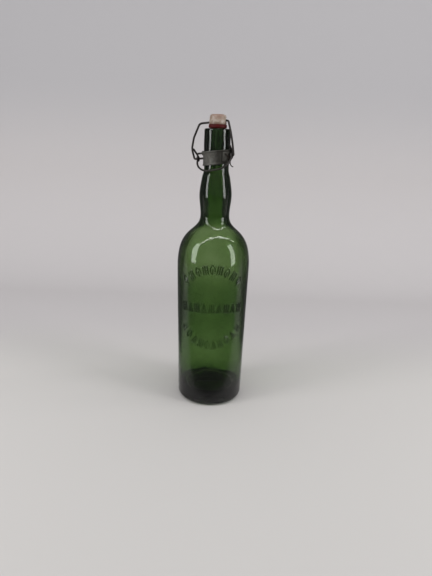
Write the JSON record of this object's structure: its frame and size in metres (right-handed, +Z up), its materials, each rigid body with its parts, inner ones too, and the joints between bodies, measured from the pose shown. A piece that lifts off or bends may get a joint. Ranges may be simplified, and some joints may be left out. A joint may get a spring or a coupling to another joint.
{
  "type": "swing-top glass bottle",
  "caption": "Tall green glass bottle with a kick-up base and a porcelain swing stopper on a wire bail; the thumb lever lifts bail and stopper off the mouth.",
  "frame": {"origin": "centre of the resting ring on the surface the bottle stands on", "axes": "+Z up along the bottle's axis; the thumb loop of the closure hangs towards -Y; +X to the right of it"},
  "size_m": [0.0792, 0.0792, 0.3139],
  "materials": {
    "green_glass": "old hand-finished bottle green glass, clear with seeds and slight waves",
    "dull_zinc": "dull weathered zinc-coated strap",
    "dark_wire": "dark oxidised spring wire with some rust",
    "porcelain": "glazed off-white porcelain, stained",
    "red_rubber": "dark red rubber, perished"
  },
  "bodies": {
    "body": {"bottle": "green_glass", "neck_strap": "dull_zinc", "tie_wire": "dark_wire"},
    "lever": {"lever": "dark_wire"},
    "bail": {"bail": "dark_wire"},
    "stopper": {"stopper": "porcelain", "gasket": "red_rubber"}
  },
  "joints": [
    {"name": "lever_pivot", "type": "hinge", "parent": "body", "child": "lever", "pos_m": [-0.00065, 0.00024, 0.27696], "axis": [-0.9327, 0.3395, -0.1219], "range_deg": [0, 90]},
    {"name": "bail_pivot", "type": "hinge", "parent": "lever", "child": "bail", "pos_m": [-0.00108, -0.0028, 0.2718], "axis": [-0.9327, 0.3395, -0.1219], "range_deg": [-64.9, 0]},
    {"name": "stopper_swivel", "type": "hinge", "parent": "bail", "child": "stopper", "pos_m": [0, 0, 0.3069], "axis": [-0.9327, 0.3395, -0.1219], "range_deg": [-25.3, 0]}
  ],
  "couplings": [
    {"joint": "bail_pivot", "follows": "lever_pivot", "ratio": -0.72},
    {"joint": "stopper_swivel", "follows": "lever_pivot", "ratio": -0.28}
  ]
}
